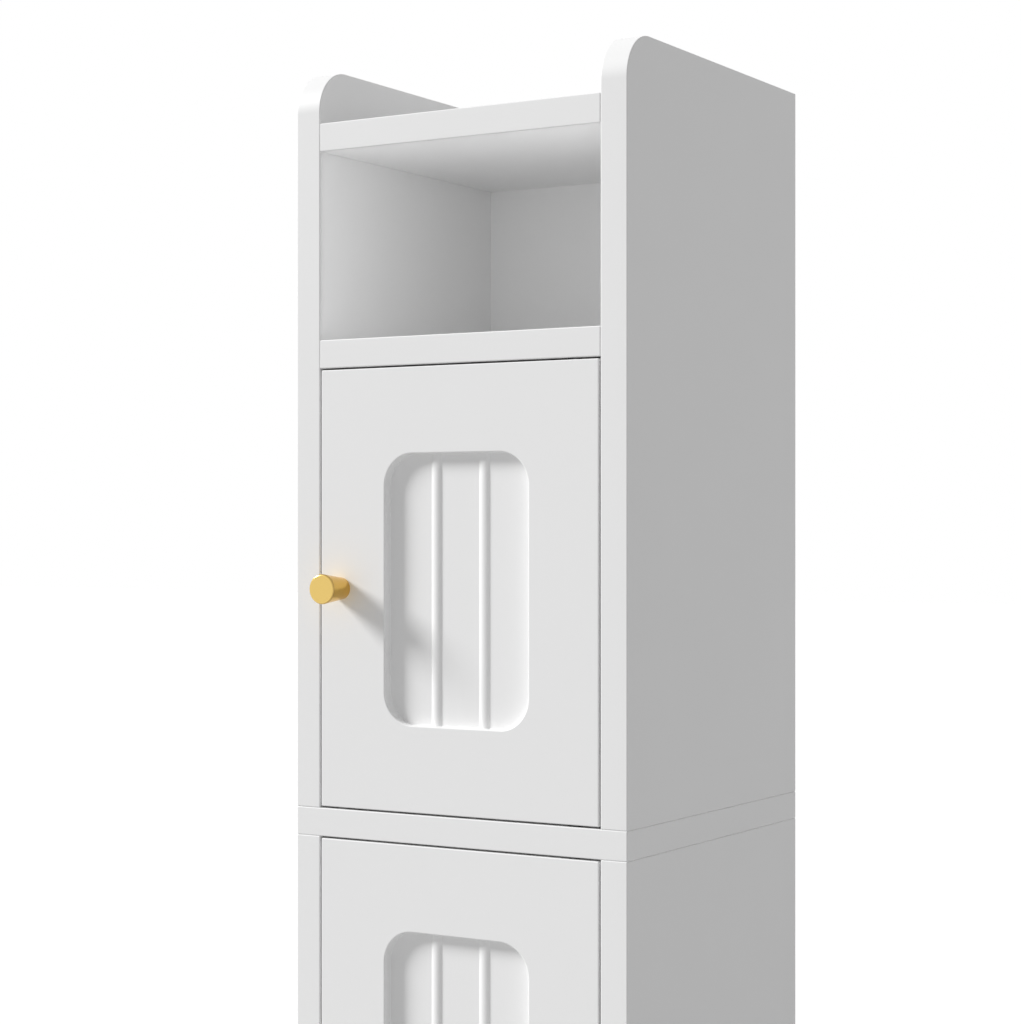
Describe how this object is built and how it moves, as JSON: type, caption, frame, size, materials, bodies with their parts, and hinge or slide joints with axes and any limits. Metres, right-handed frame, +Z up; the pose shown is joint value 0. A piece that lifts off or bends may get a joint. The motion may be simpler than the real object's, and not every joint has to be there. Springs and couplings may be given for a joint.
{
  "type": "narrow bathroom cabinet",
  "caption": "Tall narrow free-standing bathroom cabinet in white board, with an open bay under a tray top and hinged inset doors with recessed, beaded panels and small gold knobs.",
  "frame": {"origin": "on the floor, midway between the two sides and midway between the knob faces and the rear edges", "axes": "+Z up, +X to the right as seen from the front, doors face -Y"},
  "size_m": [0.2, 0.218, 0.8],
  "materials": {
    "painted_board": "smooth matt white paint on fibreboard",
    "back_board": "thin white-faced fibreboard",
    "satin_gold": "fine satin gold",
    "zinc_plated_steel": "bright zinc plate",
    "zinc_alloy": "die-cast, dull",
    "nylon": "black nylon",
    "white_plastic": "moulded, fine texture",
    "grey_plastic": "moulded, fine texture",
    "ferrite": "dull black ceramic magnet",
    "beech": "bare fluted beech"
  },
  "bodies": {
    "carcass": {"upper_left_side": "painted_board", "upper_right_side": "painted_board", "lower_left_side": "painted_board", "lower_right_side": "painted_board", "top_shelf": "painted_board", "divider_shelf": "painted_board", "middle_board": "painted_board", "bottom_board": "painted_board", "kick_board": "painted_board", "lower_shelf": "painted_board", "upper_back_panel": "back_board", "lower_back_panel": "back_board", "pivot_bushes": "nylon", "cam_locks": "zinc_alloy", "cam_bolts": "zinc_plated_steel", "cam_caps": "white_plastic", "dowels": "beech", "shelf_pins": "zinc_plated_steel", "upper_catch_housing": "white_plastic", "lower_catch_housing": "white_plastic", "upper_catch_magnet": "ferrite", "lower_catch_magnet": "ferrite", "catch_pole_plates": "zinc_plated_steel", "catch_screws": "zinc_plated_steel", "foot_glides": "grey_plastic", "wall_bracket": "zinc_plated_steel", "bracket_screws": "zinc_plated_steel"},
    "upper_door": {"upper_door_panel": "painted_board", "upper_knob": "satin_gold", "upper_knob_screw": "zinc_plated_steel", "upper_pivot_pins": "zinc_plated_steel", "upper_strike_plate": "zinc_plated_steel", "upper_strike_screws": "zinc_plated_steel"},
    "lower_door": {"lower_door_panel": "painted_board", "lower_knob": "satin_gold", "lower_knob_screw": "zinc_plated_steel", "lower_pivot_pins": "zinc_plated_steel", "lower_strike_plate": "zinc_plated_steel", "lower_strike_screws": "zinc_plated_steel"}
  },
  "joints": [
    {"name": "upper_door_hinge", "type": "hinge", "parent": "carcass", "child": "upper_door", "pos_m": [0.06805, -0.0864, 0.5235], "axis": [0, 0, 1], "range_deg": [0, 145]},
    {"name": "lower_door_hinge", "type": "hinge", "parent": "carcass", "child": "lower_door", "pos_m": [0.06805, -0.0864, 0.2235], "axis": [0, 0, 1], "range_deg": [0, 145]}
  ]
}
